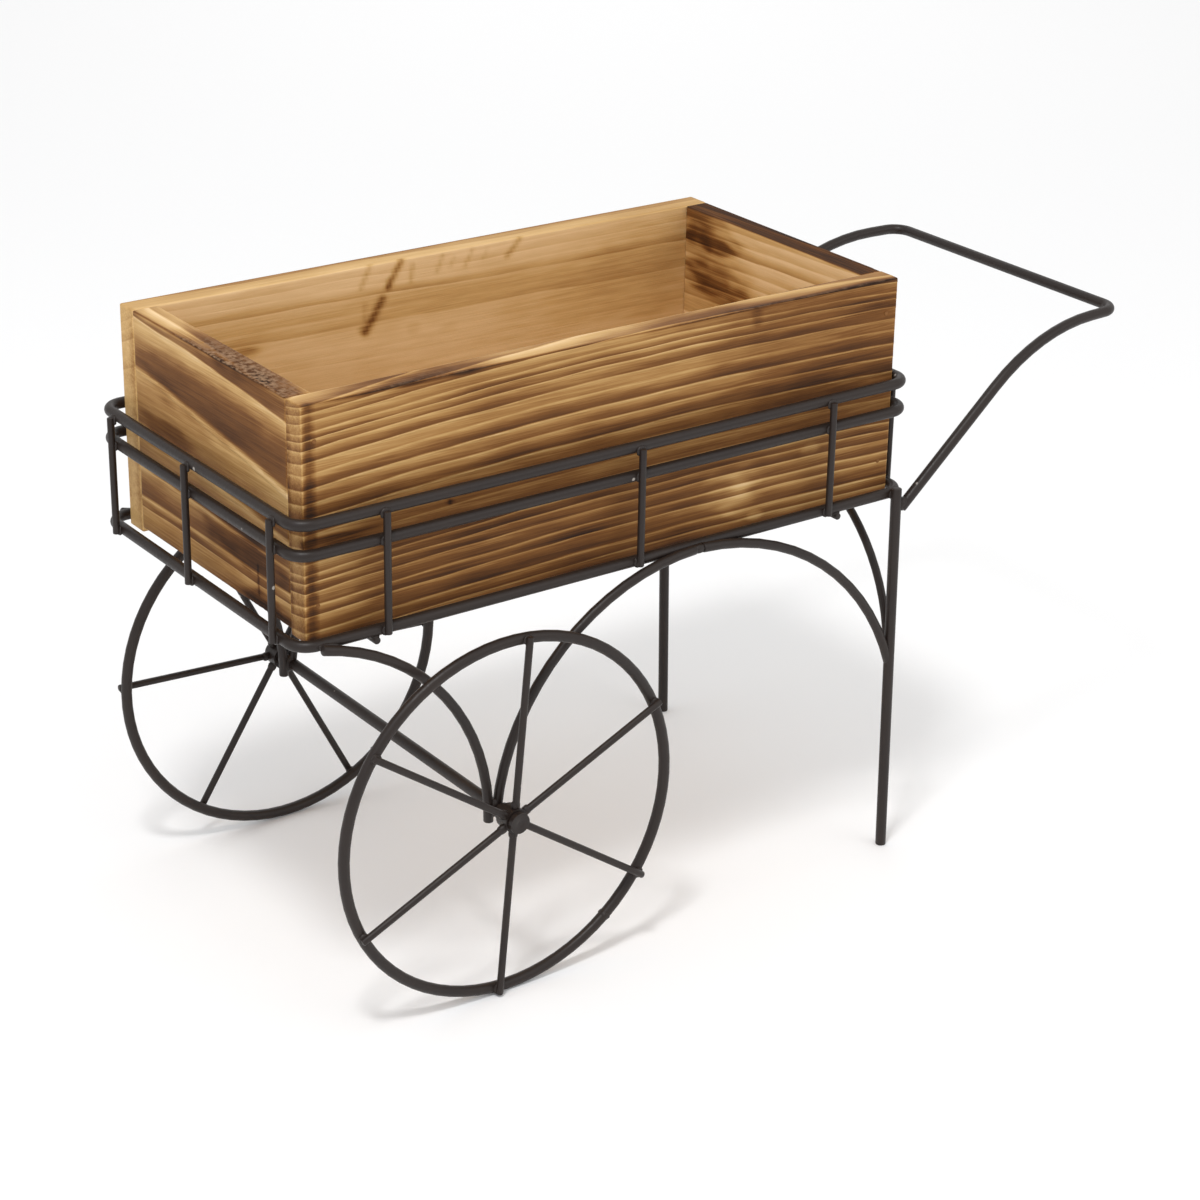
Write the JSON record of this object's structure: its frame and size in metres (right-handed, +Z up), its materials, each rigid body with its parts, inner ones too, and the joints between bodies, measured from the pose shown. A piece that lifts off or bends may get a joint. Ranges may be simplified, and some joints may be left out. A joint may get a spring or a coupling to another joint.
{
  "type": "wagon planter",
  "caption": "Small decorative wagon planter: an open pine box that stands in a bent wire frame with spoked wheels in front, legs behind and a raised pull handle.",
  "frame": {"origin": "on the floor, under the middle of the overall length and width", "axes": "+X along the length to the handle, -Y to the wagon's left side, +Z up"},
  "size_m": [0.4562, 0.2086, 0.2796],
  "materials": {
    "coated_wire": "satin dark brown coat",
    "torched_pine": "torched and brushed, unvarnished",
    "panel_ply": "plain thin board",
    "nail_steel": "bright nail, dulled"
  },
  "bodies": {
    "frame": {"axle": "coated_wire", "axle_cap_left": "coated_wire", "axle_cap_right": "coated_wire", "bottom_rail": "coated_wire", "cross_brace_left": "coated_wire", "cross_brace_right": "coated_wire", "cross_wire_front": "coated_wire", "cross_wire_rear": "coated_wire", "forward_brace_left": "coated_wire", "forward_brace_right": "coated_wire", "front_upright_left": "coated_wire", "front_upright_middle": "coated_wire", "front_upright_right": "coated_wire", "handle": "coated_wire", "left_upright_front": "coated_wire", "left_upright_middle": "coated_wire", "left_upright_rear": "coated_wire", "leg_brace_left": "coated_wire", "leg_brace_right": "coated_wire", "leg_left": "coated_wire", "leg_right": "coated_wire", "middle_rail": "coated_wire", "rear_brace_left": "coated_wire", "rear_brace_right": "coated_wire", "rear_upright_left": "coated_wire", "rear_upright_middle": "coated_wire", "rear_upright_right": "coated_wire", "right_upright_front": "coated_wire", "right_upright_middle": "coated_wire", "right_upright_rear": "coated_wire", "top_rail": "coated_wire"},
    "wheel_left": {"hub_left": "coated_wire", "rim_left": "coated_wire", "spoke_left_1": "coated_wire", "spoke_left_2": "coated_wire", "spoke_left_3": "coated_wire", "spoke_left_4": "coated_wire", "spoke_left_5": "coated_wire", "spoke_left_6": "coated_wire"},
    "wheel_right": {"hub_right": "coated_wire", "rim_right": "coated_wire", "spoke_right_1": "coated_wire", "spoke_right_2": "coated_wire", "spoke_right_3": "coated_wire", "spoke_right_4": "coated_wire", "spoke_right_5": "coated_wire", "spoke_right_6": "coated_wire"},
    "planter_box": {"bottom_nails": "nail_steel", "bottom_panel": "panel_ply", "corner_nails": "nail_steel", "end_board_front": "torched_pine", "end_board_rear": "torched_pine", "side_board_left": "torched_pine", "side_board_right": "torched_pine"}
  },
  "joints": [
    {"name": "wheel_left_spin", "type": "hinge", "parent": "frame", "child": "wheel_left", "pos_m": [-0.13065, -0.096, 0.0842], "axis": [0, 1, 0], "continuous": true},
    {"name": "wheel_right_spin", "type": "hinge", "parent": "frame", "child": "wheel_right", "pos_m": [-0.13065, 0.096, 0.0842], "axis": [0, 1, 0], "continuous": true},
    {"name": "box_lift", "type": "slide", "parent": "frame", "child": "planter_box", "axis": [0, 0, 1], "range_m": [0, 0.12]}
  ]
}
